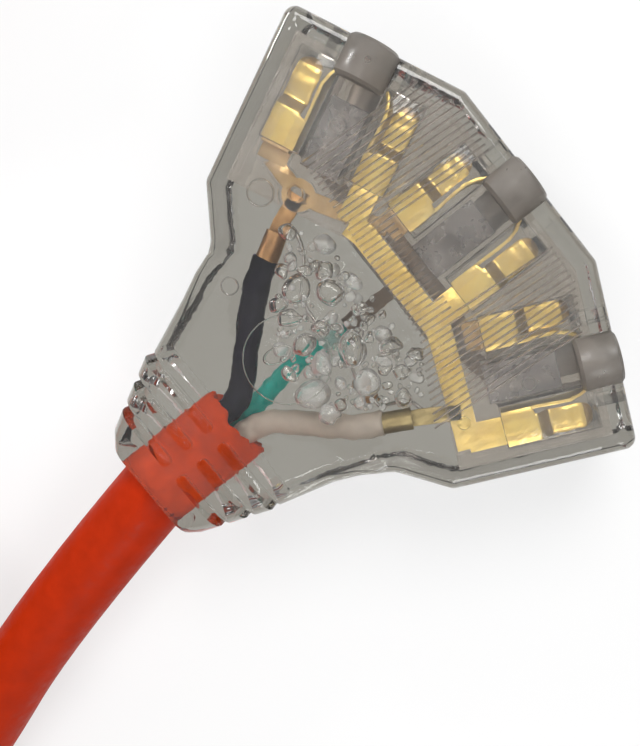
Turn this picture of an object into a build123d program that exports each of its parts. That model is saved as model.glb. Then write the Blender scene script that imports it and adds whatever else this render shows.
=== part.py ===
"""Three-outlet adapter lead: a clear, fan-shaped triple tap moulded on a short heavy cord.

Millimetres, +Z up. The tap lies on its flat far side, its neck points to -Y and its middle
outlet to +Y. The two blades of a plug enter upright and side by side, and the earth pin
enters below them.
"""
import os
from math import atan2, cos, degrees, pi, radians, sin, tan

from build123d import *

# Tap body
OUTLET_ANGLE = 24.6  # degrees from one outlet face to the next
MIDDLE_FACE_W = 31.6
OUTER_FACE_W = 29.0
OUTER_SIDE_L = 29.0
BODY_L = 78.0
BODY_T = 26.0
SHOULDER_STEP = 8.7  # from the shoulder's corner in to the waist
WAIST_FROM_FRONT = 45.4
WAIST_L = 1.6
WAIST_FLARE = 1.2
NECK_TOP_HALF = 16.2
NECK_TOP_T = 21.6
NECK_TOP_CHAMFER = 2.2
NECK_L = 15.0
NECK_END_HALF = 10.0
NECK_END_T = 19.0
NECK_END_CHAMFER = 3.4
BODY_CORNER_R = 1.4
SHOULDER_R = 2.0
EDGE_CHAMFER = 0.9

# Lobe over each outlet
LOBE_R = 4.05
LOBE_L = 6.4

# Grip grooves round the neck
RIB_PITCH = 4.45
RIB_COUNT = 3
RIB_FIRST = 6.0  # from the neck end
RIB_GROOVE_W = 1.9
RIB_GROOVE_D = 1.7
RIB_BRIDGE = 2.4  # plain strip between the left and right grooves

# Outlets, as standard for a 15 A grounded plug
BLADE_PITCH = 12.7
BLADE_H = 6.35
BLADE_T = 1.52
EARTH_DROP = 11.9
EARTH_PIN_R = 2.39
SLOT_T = 2.1
SLOT_H_LIVE = 7.2
SLOT_H_NEUTRAL = 8.6
EARTH_HOLE_R = 2.65
BLADE_Z = 17.6
EARTH_Z = BLADE_Z - EARTH_DROP

# Inner mouldings
FIT_GAP = 0.05
CHANNEL_GAP = 0.3  # beside a bus in its channel
FLOOR_GAP = 0.1  # over or under a bus in its channel
FRONT_WALL = 3.2
SIDE_WALL = 2.6
CARRIER_REAR = 27.3  # rear edge, from the outlet faces
CARRIER_FRONT_WALL = 1.3
FAR_WALL = 1.5
EARTH_COVER_T = 1.15
PLATE_Z = 21.4
LID_T = 1.5
LID_RIM_W = 1.2
CHAMBER_FROM_FRONT = 19.5
CHAMBER_IN = 3.5
CHAMBER_OUT = 10.7
CHAMBER_Z = 13.0

# Stamped brass
BRASS_T = 0.6
LEAF_T = 0.5
LEAF_Z = 14.4
PLATE_MID = 7.6  # middle of a contact plate, from the middle of its outlet
PLATE_W = 5.4
PLATE_L = 5.6
FINGER_W = 4.2
FINGER_TIP = 5.4  # from the outlet face
FINGER_DROP = 0.45
JOGGLE_L = 1.0
PLATE_REAR = 19.2
NEUTRAL_RUN = 25.0  # middle of the neutral strip, from the outlet faces
NEUTRAL_BENDS = (-9.0, 9.6)  # of the strip, across the middle outlet
NEUTRAL_OVERRUN = 1.6  # of the strip past the right outlet's contact
NEUTRAL_PIN_IN = 2.6  # from the middle of the right outlet's contact
NEUTRAL_W = 3.9
NEUTRAL_ARM_W = 4.4
LIVE_Z = 18.2
LIVE_RUN = 21.6
LIVE_W = 2.6
EARTH_BUS_Z = 9.2
EARTH_BUS_W = 3.0
SLEEVE_T = 0.5
SLEEVE_L = 10.5
SLEEVE_FROM_FRONT = 5.0
SLEEVE_SLIT = 70  # degrees
LOCATING_PIN_R = 1.1
LOCATING_PIN_ROOT = 4.0  # into the carrier, below its bus
LOCATING_PIN_SHORT = 0.2  # below the lid's top
CRIMP_R = 1.75
CRIMP_T = 0.45
CRIMP_L = 4.6

# Wires and lamp
WIRE_R = 1.85
STRAND_R = 1.15
STRIPPED_L = 3.9
LAMP_R = 1.7
LAMP_L = 8.4
RESISTOR_R = 1.15
RESISTOR_L = 4.4
LEAD_R = 0.3

# Cord
CORD_D = 13.0
CORD_X = 1.0
CORD_Z = 13.0
JACKET_INSIDE_L = 18.0
JACKET_BORE_R = 4.6
JACKET_BORE_L = 7.0
JACKET_GRIP = 0.02  # the moulding grips the jacket this close
CORD_LIFT = 0.6  # the cord rises this much before it comes down to the floor
COIL_R = 73.0
COIL_HALF_TURNS = 3
COIL_LIFT_FROM = 288.0
COIL_LIFT_TO = 318.0
COIL_LAYER_GAP = 0.4
TIE_T = 1.2
TIE_W = 9.0
TIE_AT = 100.0

# Plug on the far end
PLUG_W = 26.0
PLUG_L = 34.0
PLUG_T = 26.0
PLUG_FACE_L = 9.0
PLUG_NECK_L = 24.0
PLUG_NECK_END_R = 7.6
PLUG_BLADE_L = 17.8
PLUG_EARTH_L = 21.0
PLUG_BLADE_Z = 18.4
PLUG_ROOT_L = 12.0

FRONT_Y = BODY_L / 2
NECK_END_Y = -BODY_L / 2
CORD_R = CORD_D / 2
COIL_LAYER = CORD_D + COIL_LAYER_GAP
MID_Z = BODY_T / 2
PLATE_TOP = PLATE_Z + BRASS_T
CARRIER_Z = FAR_WALL + EARTH_COVER_T
LID_POCKET_TOP = PLATE_TOP + FLOOR_GAP
LID_TOP = LID_POCKET_TOP + LID_T
JACKET_END_Y = NECK_END_Y + JACKET_INSIDE_L
OUTLETS = {"left": -1, "middle": 0, "right": 1}

# Places in the plan, from the middle outlet's face
LIVE_TAIL = [(-20.2, FRONT_Y - 29.2), (-18.6, FRONT_Y - 34.0), (-15.6, FRONT_Y - 39.4)]
NEUTRAL_TAIL = [(21.6, FRONT_Y - 30.1), (18.4, FRONT_Y - 35.4), (15.4, FRONT_Y - 40.8)]
EARTH_TAIL = [(0.0, FRONT_Y - 25.8), (0.0, FRONT_Y - 31.6), (0.0, FRONT_Y - 36.8)]
LIVE_BEND = (-11.8, FRONT_Y - 24.4)
LAMP_AT = (1.0, FRONT_Y - 39.6, 16.4)
RESISTOR_AT = (9.6, FRONT_Y - 40.2, 16.4)

# Where each wire starts in the jacket's mouth, from the cord's middle, and where it spreads
WIRE_START = {"live": (-2.35, 1.3), "neutral": (2.35, 1.3), "earth": (0.0, -2.6)}
WIRE_SPREAD = {"live": -4.1, "neutral": 5.4, "earth": -0.4}
WIRE_SPREAD_AT = {"live": 0.26, "neutral": 0.29, "earth": 0.5}  # share of the way to the crimp
WIRE_STRAIGHT = 2.5  # past the jacket's mouth
WIRE_CRIMP_RUN = 4.0  # straight into the crimp

# The cord's route, with the coil's turns left to the coil's own solid
CORD_RUN = [
    (CORD_X, NECK_END_Y, CORD_Z),
    (CORD_X + 6.0, NECK_END_Y - 32.5, CORD_Z + CORD_LIFT),
    (CORD_X + 16.5, NECK_END_Y - 64.5, CORD_R),
    (CORD_X + 25.0, NECK_END_Y - 98.0, CORD_R),
]
TAIL_DROP = COIL_LAYER + CORD_R - PLUG_T / 2
TAIL_RUN = [
    (0.0, 0.0, 0.0),
    (0.0, 22.0, 0.0),
    (3.0, 45.0, -TAIL_DROP / 6),
    (6.0, 68.0, -TAIL_DROP),
    (6.0, 90.0, -TAIL_DROP),
]


def rect(x0, x1, y0, y1, z0, z1):
    """A block between its corners."""
    size = (x1 - x0, y1 - y0, z1 - z0)
    return Pos((x0 + x1) / 2, (y0 + y1) / 2, (z0 + z1) / 2) * Box(*size)


def prism(points, z0, z1):
    """An upright prism on an outline."""
    face = make_face(Polyline(*points, close=True))
    return Pos(0, 0, z0) * extrude(face, z1 - z0, dir=(0, 0, 1))


def strip_outline(points, width):
    """The outline of a strip of even width along a bent line, with mitred corners."""
    left, right = [], []
    count = len(points)
    for i, (x, y) in enumerate(points):
        before = points[max(i - 1, 0)]
        after = points[min(i + 1, count - 1)]
        first = Vector(x - before[0], y - before[1])
        second = Vector(after[0] - x, after[1] - y)
        first = first.normalized() if first.length else second.normalized()
        second = second.normalized() if second.length else first
        middle = (first + second).normalized()
        reach = width / 2 / max(middle.dot(first), 0.5)
        left.append((x - middle.Y * reach, y + middle.X * reach))
        right.append((x + middle.Y * reach, y - middle.X * reach))
    return left + right[::-1]


def strip(points, width, z0, z1):
    return prism(strip_outline(points, width), z0, z1)


def outlet_place(side):
    """The frame of one outlet: x across its face, y out of it, z up, from its face's middle."""
    turn = side * OUTLET_ANGLE
    away = OUTER_FACE_W / 2
    x = side * (MIDDLE_FACE_W / 2 + away * cos(radians(OUTLET_ANGLE)))
    y = FRONT_Y - abs(side) * away * sin(radians(OUTLET_ANGLE))
    return Location((x, y, 0), (0, 0, -turn))


def outlet_point(side, across, inward):
    """A point of the plan, from its place in an outlet's frame."""
    spot = (outlet_place(side) * Location((across, -inward, 0))).position
    return (spot.X, spot.Y)


def mirrored(points):
    """A half outline on +X, closed by its mirror image."""
    return points + [(-x, y) for x, y in reversed(points)]


def fan_outline(front, side, rear):
    """The fan of the three outlets, inset from its faces and sides, down to a rear edge."""
    lean = tan(radians(OUTLET_ANGLE / 2))
    half = OUTER_FACE_W / 2 - side
    points = [
        (MIDDLE_FACE_W / 2 - rear * lean, FRONT_Y - rear),
        outlet_point(1, half, rear),
        outlet_point(1, half, front),
        (MIDDLE_FACE_W / 2 - front * lean, FRONT_Y - front),
    ]
    return mirrored(points[::-1])


def body_outline():
    """The fan end of the body, from its faces down to the waist."""
    corner = outlet_point(1, OUTER_FACE_W / 2, 0)
    shoulder = outlet_point(1, OUTER_FACE_W / 2, OUTER_SIDE_L)
    waist_half = shoulder[0] - SHOULDER_STEP
    waist_y = FRONT_Y - WAIST_FROM_FRONT
    points = [
        (MIDDLE_FACE_W / 2, FRONT_Y),
        corner,
        shoulder,
        (waist_half + WAIST_FLARE, waist_y + WAIST_L),
        (waist_half, waist_y),
    ]
    return mirrored(points)


def neck_section(y, middle, half, thick, cut):
    """A cross-section of the neck: a rectangle with cut corners."""
    z0, z1 = MID_Z - thick / 2, MID_Z + thick / 2
    points = [(half - cut, y, z0), (half, y, z0 + cut), (half, y, z1 - cut), (half - cut, y, z1)]
    points += [(-x, y, z) for x, y, z in reversed(points)]
    return Pos(middle, 0, 0) * make_face(Polyline(*points, close=True))


def body_shell():
    """The outside of the body: a flat fan, and a neck that narrows in two steps."""
    points = body_outline()
    fan = prism(points, 0, BODY_T)
    for spot, radius in ((points[1], BODY_CORNER_R), (points[2], SHOULDER_R), (points[3], SHOULDER_R)):
        upright = [
            e
            for e in fan.edges().filter_by(Axis.Z)
            if abs(abs(e.center().X) - spot[0]) < 0.01 and abs(e.center().Y - spot[1]) < 0.01
        ]
        fan = fillet(upright, radius)
    waist_half, waist_y = points[4]
    flats = fan.faces().sort_by(Axis.Z)
    rims = [e for face in (flats[0], flats[-1]) for e in face.edges() if e.center().Y > waist_y + 0.01]
    fan = chamfer(rims, EDGE_CHAMFER)
    neck_y = NECK_END_Y + NECK_L
    waist = neck_section(waist_y, 0, waist_half, BODY_T, EDGE_CHAMFER)
    neck_top = neck_section(neck_y, CORD_X, NECK_TOP_HALF, NECK_TOP_T, NECK_TOP_CHAMFER)
    neck_end = neck_section(NECK_END_Y, CORD_X, NECK_END_HALF, NECK_END_T, NECK_END_CHAMFER)
    return fan + loft([waist, neck_top], ruled=True) + loft([neck_top, neck_end], ruled=True)


def lobe(side):
    """A half-round lobe over the middle of an outlet."""
    roller = Pos(0, -LOBE_L / 2, BODY_T) * Rot(90, 0, 0) * Cylinder(LOBE_R, LOBE_L)
    upper = rect(-LOBE_R, LOBE_R, -LOBE_L, 0, BODY_T - EDGE_CHAMFER * 2, BODY_T + LOBE_R)
    return outlet_place(side) * (roller & upper)


def neck_grooves():
    """Round-ended grooves round the left and right of the neck."""
    grooves = []
    span = NECK_TOP_HALF + 2
    for i in range(RIB_COUNT):
        y = NECK_END_Y + RIB_FIRST + i * RIB_PITCH
        share = (y - NECK_END_Y) / NECK_L
        half = NECK_END_HALF + (NECK_TOP_HALF - NECK_END_HALF) * share
        near_z = MID_Z + (NECK_END_T + (NECK_TOP_T - NECK_END_T) * share) / 2 - RIB_GROOVE_D
        for side in (-1, 1):
            near = side * (RIB_BRIDGE + RIB_GROOVE_W) / 2
            middle = (near + side * span) / 2
            plan = Pos(CORD_X + middle, y) * SlotCenterToCenter(span - abs(near), RIB_GROOVE_W)
            upper = Pos(0, 0, near_z) * extrude(plan, BODY_T, dir=(0, 0, 1))
            lower = Pos(0, 0, BODY_T - near_z) * extrude(plan, BODY_T, dir=(0, 0, -1))
            x0, x1 = sorted((CORD_X + side * (half - RIB_GROOVE_D), CORD_X + side * span))
            edge = rect(x0, x1, y - RIB_GROOVE_W / 2, y + RIB_GROOVE_W / 2, 0, BODY_T)
            grooves += [upper, lower, edge]
    return grooves


def slots(side, depth):
    """The two blade slots and the earth hole through a wall, from an outlet's face inwards."""
    cuts = []
    for across, height in ((-BLADE_PITCH / 2, SLOT_H_LIVE), (BLADE_PITCH / 2, SLOT_H_NEUTRAL)):
        block = rect(
            across - SLOT_T / 2,
            across + SLOT_T / 2,
            -depth,
            1,
            BLADE_Z - height / 2,
            BLADE_Z + height / 2,
        )
        cuts.append(block)
    hole = Pos(0, (1 - depth) / 2, EARTH_Z) * Rot(90, 0, 0) * Cylinder(EARTH_HOLE_R, depth + 1)
    cuts.append(hole)
    return [outlet_place(side) * cut for cut in cuts]


def bent_wire(points, radius):
    """A round wire along straight runs joined by large arcs."""
    spots = [Vector(*p) for p in points]
    if len(spots) == 2:
        path = Line(*spots)
    else:
        path = FilletPolyline(*spots, radius=corner_radii(spots))
    start = Plane(origin=spots[0], z_dir=(spots[1] - spots[0]).normalized())
    return sweep(start * Circle(radius), path=path)


def corner_radii(spots):
    """For each corner, the largest arc that its two runs allow."""
    radii = []
    for before, here, after in zip(spots, spots[1:], spots[2:]):
        turn = radians((here - before).get_angle(after - here))
        shorter = min((here - before).length, (after - here).length)
        radii.append(0.45 * shorter / tan(turn / 2))
    return radii


def rod_between(start, end, radius):
    return bent_wire([start, end], radius)


def along(start, end, distance):
    """The point at a distance from start towards end."""
    first, second = Vector(*start), Vector(*end)
    spot = first + (second - first).normalized() * distance
    return (spot.X, spot.Y, spot.Z)


def tail_points(tail, z):
    """The start and end of a crimp barrel that lies on the last run of a bus tail."""
    (x0, y0), (x1, y1) = tail[-2:]
    return (x0, y0, z), (x1, y1, z)


def wire_route(name):
    """The route of one insulated wire, from inside the jacket to its crimp."""
    tails = {"live": LIVE_TAIL, "neutral": NEUTRAL_TAIL, "earth": EARTH_TAIL}
    levels = {"live": LIVE_Z, "neutral": PLATE_Z, "earth": EARTH_BUS_Z}
    (x0, y0), (x1, y1) = tails[name][-2:]
    run = Vector(x1 - x0, y1 - y0).normalized()
    z_end = levels[name] + BRASS_T / 2
    joint = (x1 + run.X * FIT_GAP, y1 + run.Y * FIT_GAP, z_end)
    before = (joint[0] + run.X * WIRE_CRIMP_RUN, joint[1] + run.Y * WIRE_CRIMP_RUN, z_end)
    across, up = WIRE_START[name]
    x_start, z_start = CORD_X + across, CORD_Z + up
    y_free = JACKET_END_Y + WIRE_STRAIGHT
    y_spread = y_free + (before[1] - y_free) * WIRE_SPREAD_AT[name]
    return [
        (x_start, JACKET_END_Y - JACKET_BORE_L + FIT_GAP, z_start),
        (x_start, y_free, z_start),
        (WIRE_SPREAD[name], y_spread, z_start + (z_end - z_start) * 0.35),
        before,
        joint,
    ]


def wire(name, grow=0.0):
    return bent_wire(wire_route(name), WIRE_R + grow)


def strands(name, grow=0.0):
    """The stripped strands that run on from a wire into its crimp barrel."""
    before, joint = wire_route(name)[-2:]
    inward = along(joint, before, -STRIPPED_L)
    start = along(joint, before, -FIT_GAP)
    return rod_between(start, inward, STRAND_R + grow)


def crimp(tail, z, grow=0.0):
    """The round barrel at the end of a bus tail."""
    start, end = tail_points(tail, z + BRASS_T / 2)
    first = along(end, start, CRIMP_L + grow)
    last = along(end, start, -grow)
    barrel = rod_between(last, first, CRIMP_R + grow)
    if grow:
        return barrel
    return barrel - rod_between(last, first, CRIMP_R - CRIMP_T)


def tail_strip(tail, z, grow=0.0):
    """The flat tail of a bus, up to its crimp barrel."""
    start, end = tail_points(tail, z)
    last = along(end, start, CRIMP_L - CRIMP_T)
    points = [tail[0], tail[1], last[:2]]
    return strip(points, LIVE_W + 2 * grow, z - grow, z + BRASS_T + grow)


def contact_plan(side):
    """The plan of a contact's plate and round-tipped finger, in its outlet's frame."""
    middle = side * PLATE_MID
    finger_mid = middle - side * (PLATE_W - FINGER_W) / 2
    plate = Pos(middle, -PLATE_REAR + PLATE_L / 2) * Rectangle(PLATE_W, PLATE_L)
    finger_l = PLATE_REAR - PLATE_L / 2 - FINGER_TIP
    finger = Pos(finger_mid, -FINGER_TIP - finger_l / 2) * SlotOverall(finger_l, FINGER_W, 90)
    return plate + finger


def contact_profile():
    """The side view of a contact: a flat plate, a joggle and a lower finger with its tip turned up."""
    low = PLATE_Z - FINGER_DROP
    joggle = PLATE_REAR - PLATE_L
    bottom = [
        (-PLATE_REAR, PLATE_Z),
        (-joggle, PLATE_Z),
        (-joggle + JOGGLE_L, low),
        (-FINGER_TIP - 1.2, low),
        (-FINGER_TIP, low + FINGER_DROP / 2),
    ]
    top = [(y, z + BRASS_T) for y, z in bottom]
    return make_face(Polyline(*bottom, *reversed(top), close=True))


def leaf(side, which, grow=0.0):
    """One spring leaf of a contact, standing on edge beside the blade."""
    root = side * (PLATE_MID + which * (PLATE_W - LEAF_T) / 2)
    grip = side * (BLADE_PITCH / 2 + which * (BLADE_T / 2 + LEAF_T / 2 + 0.04))
    flare = grip + side * which * 1.1
    rear = -PLATE_REAR
    points = [(root, rear), (root, rear + PLATE_L), (grip, -10.4), (grip, -8.2), (flare, -5.2)]
    return strip(points, LEAF_T + 2 * grow, LEAF_Z - grow, PLATE_Z + grow)


def contact(side, outlet):
    """A contact: plate, finger and two leaves, folded from one strip."""
    plan = extrude(contact_plan(side), BODY_T, dir=(0, 0, 1))
    width = PLATE_MID * 2 + PLATE_W * 2
    profile = extrude(Plane.YZ * contact_profile(), width, both=True)
    stamping = plan & profile
    neck = rect(-width, width, -PLATE_REAR, -PLATE_REAR + PLATE_L, LEAF_Z, PLATE_Z + BRASS_T / 2)
    for which in (-1, 1):
        spring = leaf(side, which)
        root = spring & neck
        tip = spring - neck
        tip -= rect(-width, width, -PLATE_REAR, 0, PLATE_Z - FINGER_DROP - 0.35, PLATE_TOP)
        stamping += root + tip
    return outlet_place(outlet) * stamping


def neutral_strip_points():
    bends = [outlet_point(0, across, NEUTRAL_RUN) for across in NEUTRAL_BENDS]
    first = outlet_point(-1, PLATE_MID, NEUTRAL_RUN)
    last = outlet_point(1, PLATE_MID + NEUTRAL_OVERRUN, NEUTRAL_RUN)
    return [first, *bends, last]


def neutral_bus():
    """The near bus: a bent strip with an arm and a contact for each outlet, and its crimp."""
    bus = strip(neutral_strip_points(), NEUTRAL_W, PLATE_Z, PLATE_TOP)
    for side in OUTLETS.values():
        arm = [outlet_point(side, PLATE_MID, NEUTRAL_RUN), outlet_point(side, PLATE_MID, PLATE_REAR - 0.5)]
        bus += strip(arm, NEUTRAL_ARM_W, PLATE_Z, PLATE_TOP)
        bus += contact(1, side)
    bus += tail_strip(NEUTRAL_TAIL, PLATE_Z)
    bus += crimp(NEUTRAL_TAIL, PLATE_Z)
    return bus - neutral_pin(FIT_GAP)


def live_run_points():
    ring = LIVE_TAIL[0]
    arms = [outlet_point(side, -PLATE_MID, LIVE_RUN) for side in (-1, 0, 1)]
    return [arms[0], ring, LIVE_BEND, arms[1], (MIDDLE_FACE_W / 2 - PLATE_MID, FRONT_Y - LIVE_RUN), arms[2]]


def live_bus():
    """The deeper bus: it passes under the near one, and steps up to its contacts."""
    bus = strip(live_run_points(), LIVE_W, LIVE_Z, LIVE_Z + BRASS_T)
    ring = Pos(*LIVE_TAIL[0], LIVE_Z + BRASS_T / 2) * Cylinder(LIVE_W, BRASS_T)
    bus += ring
    for side in OUTLETS.values():
        half = PLATE_W / 2 - 0.4
        x0, x1 = -PLATE_MID - half, -PLATE_MID + half
        riser = rect(x0, x1, -PLATE_REAR - BRASS_T, -PLATE_REAR, LIVE_Z, PLATE_TOP)
        foot = rect(x0, x1, -LIVE_RUN, -PLATE_REAR, LIVE_Z, LIVE_Z + BRASS_T)
        bus += outlet_place(side) * (riser + foot)
        bus += contact(-1, side)
    bus += tail_strip(LIVE_TAIL, LIVE_Z)
    bus += crimp(LIVE_TAIL, LIVE_Z)
    return bus - live_pin(FIT_GAP)


def earth_run_points():
    ends = [outlet_point(side, 0, PLATE_REAR) for side in (-1, 1)]
    return [ends[0], (-7.0, EARTH_TAIL[0][1]), (7.0, EARTH_TAIL[0][1]), ends[1]]


def earth_sleeve(side, grow=0.0):
    """A split spring sleeve round the earth pin, with a strap up to the bus."""
    outer = EARTH_PIN_R + 0.05 + SLEEVE_T
    rear = SLEEVE_FROM_FRONT + SLEEVE_L
    tube = Pos(0, -SLEEVE_FROM_FRONT - SLEEVE_L / 2, EARTH_Z) * Rot(90, 0, 0) * Cylinder(outer, SLEEVE_L)
    tube -= Pos(0, -SLEEVE_FROM_FRONT - SLEEVE_L / 2, EARTH_Z) * Rot(90, 0, 0) * Cylinder(
        outer - SLEEVE_T, SLEEVE_L + 1
    )
    slit = outer * sin(radians(SLEEVE_SLIT / 2))
    tube -= rect(-slit, slit, -rear - 1, -SLEEVE_FROM_FRONT + 1, 0, EARTH_Z - outer * 0.5)
    strap_top = EARTH_BUS_Z + BRASS_T
    half = EARTH_BUS_W / 2
    strap = rect(-half, half, -rear, -rear + BRASS_T, EARTH_Z + outer - SLEEVE_T * 0.9, strap_top)
    strap += rect(-half, half, -PLATE_REAR - half, -rear + BRASS_T, EARTH_BUS_Z, strap_top)
    return outlet_place(side) * (tube + strap)


def earth_bus():
    """The far bus, below the blades, with a split sleeve at each outlet."""
    bus = strip(earth_run_points(), EARTH_BUS_W, EARTH_BUS_Z, EARTH_BUS_Z + BRASS_T)
    middle = outlet_point(0, 0, PLATE_REAR)
    bus += strip([EARTH_TAIL[0], middle], EARTH_BUS_W, EARTH_BUS_Z, EARTH_BUS_Z + BRASS_T)
    for side in OUTLETS.values():
        bus += earth_sleeve(side)
    bus += tail_strip(EARTH_TAIL, EARTH_BUS_Z)
    bus += crimp(EARTH_TAIL, EARTH_BUS_Z)
    return bus


def live_pin(grow=0.0):
    x, y = LIVE_TAIL[0]
    top = LID_TOP if grow else LID_TOP - LOCATING_PIN_SHORT
    height = top - LIVE_Z + LOCATING_PIN_ROOT
    return Pos(x, y, top - height / 2) * Cylinder(LOCATING_PIN_R + grow, height)


def neutral_pin(grow=0.0):
    x, y = outlet_point(1, PLATE_MID - NEUTRAL_PIN_IN, NEUTRAL_RUN)
    top = LID_TOP if grow else LID_TOP - LOCATING_PIN_SHORT
    height = top - PLATE_Z + LOCATING_PIN_ROOT
    return Pos(x, y, top - height / 2) * Cylinder(LOCATING_PIN_R * 0.9 + grow, height)


def contact_carrier():
    """The inner moulding that holds the contacts in their chambers."""
    outline = fan_outline(FRONT_WALL + FIT_GAP, SIDE_WALL + FIT_GAP, CARRIER_REAR)
    block = prism(outline, CARRIER_Z + FIT_GAP, PLATE_Z - FIT_GAP)
    front = FRONT_WALL + CARRIER_FRONT_WALL
    live_floor = LIVE_Z - FLOOR_GAP
    earth_top = EARTH_BUS_Z + BRASS_T + FLOOR_GAP
    for side in OUTLETS.values():
        for across in (-1, 1):
            x0, x1 = sorted((across * CHAMBER_IN, across * CHAMBER_OUT))
            chamber = rect(x0, x1, -CHAMBER_FROM_FRONT, -front, CHAMBER_Z, PLATE_Z + 1)
            block -= outlet_place(side) * chamber
        for cut in slots(side, front + 0.5):
            block -= cut
        half = EARTH_PIN_R + SLEEVE_T + CHANNEL_GAP + FLOOR_GAP
        well_rear = PLATE_REAR + EARTH_BUS_W / 2 + CHANNEL_GAP
        well = rect(-half, half, -well_rear, -front, 0, earth_top)
        block -= outlet_place(side) * well
        foot = rect(
            -PLATE_MID - PLATE_W / 2,
            -PLATE_MID + PLATE_W / 2,
            -LIVE_RUN - 0.5,
            -CHAMBER_FROM_FRONT + 0.5,
            live_floor,
            PLATE_Z + 1,
        )
        block -= outlet_place(side) * foot
    live = LIVE_W + 2 * CHANNEL_GAP
    block -= strip(live_run_points(), live, live_floor, PLATE_Z + 1)
    block -= Pos(*LIVE_TAIL[0], live_floor + BODY_T / 2) * Cylinder(LIVE_W + CHANNEL_GAP, BODY_T)
    block -= strip(LIVE_TAIL, live, live_floor, PLATE_Z + 1)
    earth = EARTH_BUS_W + 2 * CHANNEL_GAP
    block -= strip(earth_run_points(), earth, 0, earth_top)
    reach = [outlet_point(0, 0, PLATE_REAR), (0.0, FRONT_Y - CARRIER_REAR - 1)]
    block -= strip(reach, earth, 0, earth_top)
    return block + live_pin() + neutral_pin()


def carrier_lid():
    """The lid that closes the chambers over the contact plates."""
    outline = fan_outline(FRONT_WALL + FIT_GAP, SIDE_WALL + FIT_GAP, CARRIER_REAR)
    inner = fan_outline(FRONT_WALL + LID_RIM_W, SIDE_WALL + LID_RIM_W, CARRIER_REAR - LID_RIM_W)
    lid = prism(outline, PLATE_Z, LID_TOP - FIT_GAP)
    lid -= prism(inner, PLATE_Z - 1, LID_POCKET_TOP)
    lid -= strip(NEUTRAL_TAIL, LIVE_W + 4 * CHANNEL_GAP, PLATE_Z - 1, LID_POCKET_TOP)
    lid -= strip(neutral_strip_points(), NEUTRAL_W + 2 * CHANNEL_GAP, PLATE_Z - 1, LID_POCKET_TOP)
    return lid - live_pin(FIT_GAP) - neutral_pin(FIT_GAP)


def earth_cover():
    """The plate that closes the carrier's far side over the earth sleeves."""
    outline = fan_outline(FRONT_WALL + FIT_GAP, SIDE_WALL + FIT_GAP, CARRIER_REAR)
    return prism(outline, FAR_WALL + FIT_GAP, CARRIER_Z)


def lamp(grow=0.0):
    x, y, z = LAMP_AT
    length = LAMP_L + 2 * grow
    tube = Pos(x, y, z) * Rot(0, 90, 0) * Cylinder(LAMP_R + grow, length)
    if grow:
        return tube
    tip = tube.edges().filter_by(GeomType.CIRCLE).sort_by(Axis.X)[-1]
    return chamfer(tip, LAMP_R * 0.5)


def resistor(grow=0.0):
    x, y, z = RESISTOR_AT
    length = RESISTOR_L + 2 * grow
    body = Pos(x, y, z) * Rot(0, 90, 0) * Cylinder(RESISTOR_R + grow, length)
    if grow:
        return body
    return chamfer(body.edges().filter_by(GeomType.CIRCLE), RESISTOR_R * 0.3)


def lead_routes():
    """The bare leads: live tail to lamp, lamp to resistor, resistor to neutral tail."""
    lamp_x, lamp_y, lamp_z = LAMP_AT
    res_x, res_y, res_z = RESISTOR_AT
    lamp_start = lamp_x - LAMP_L / 2 - FIT_GAP
    lamp_end = lamp_x + LAMP_L / 2 + FIT_GAP
    res_start = res_x - RESISTOR_L / 2 - FIT_GAP
    res_end = res_x + RESISTOR_L / 2 + FIT_GAP
    live_x, live_y = LIVE_TAIL[1]
    neutral_x, neutral_y = NEUTRAL_TAIL[1]
    neutral_side = neutral_x - LIVE_W / 2 - 0.5
    live_level = LIVE_Z - LEAD_R - FIT_GAP
    neutral_level = PLATE_Z - LEAD_R - FIT_GAP
    return {
        "lamp_lead_live": [
            (live_x, live_y + 1.0, live_level),
            (live_x + 4.6, live_y + 0.6, live_level - 0.4),
            (lamp_start - 3.0, lamp_y, lamp_z),
            (lamp_start, lamp_y, lamp_z),
        ],
        "lamp_lead_link": [(lamp_end, lamp_y, lamp_z), (res_start, res_y, res_z)],
        "lamp_lead_neutral": [
            (res_end, res_y, res_z),
            (res_end + 1.4, res_y, res_z),
            (neutral_side - 1.6, neutral_y, neutral_level - 1.0),
            (neutral_side + 1.6, neutral_y + 0.8, neutral_level),
        ],
    }


def jacket_end(grow=0.0):
    """The cord's jacket where it runs inside the neck, cut back round the three wires."""
    start = (CORD_X, NECK_END_Y - grow, CORD_Z)
    end = (CORD_X, JACKET_END_Y + grow, CORD_Z)
    jacket = rod_between(start, end, CORD_R + grow)
    if grow:
        return jacket
    mouth = rod_between(along(end, start, JACKET_BORE_L), along(end, start, -1), JACKET_BORE_R)
    return jacket - mouth


def outer_body():
    """The clear moulding round everything, open at the slots, the earth holes and the neck."""
    body = body_shell()
    for side in OUTLETS.values():
        body += lobe(side)
    for groove in neck_grooves():
        body -= groove
    outline = fan_outline(FRONT_WALL, SIDE_WALL, CARRIER_REAR + FIT_GAP)
    body -= prism(outline, FAR_WALL, LID_TOP)
    for side in OUTLETS.values():
        for cut in slots(side, FRONT_WALL + 0.5):
            body -= cut
    body -= jacket_end(JACKET_GRIP)
    levels = {"live": LIVE_Z, "neutral": PLATE_Z, "earth": EARTH_BUS_Z}
    tails = {"live": LIVE_TAIL, "neutral": NEUTRAL_TAIL, "earth": EARTH_TAIL}
    for name, z in levels.items():
        body -= wire(name, FIT_GAP)
        body -= crimp(tails[name], z, FIT_GAP)
        body -= tail_strip(tails[name], z, FIT_GAP)
    body -= lamp(FIT_GAP)
    body -= resistor(FIT_GAP)
    for route in lead_routes().values():
        body -= bent_wire(route, LEAD_R + FIT_GAP)
    return body


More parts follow.
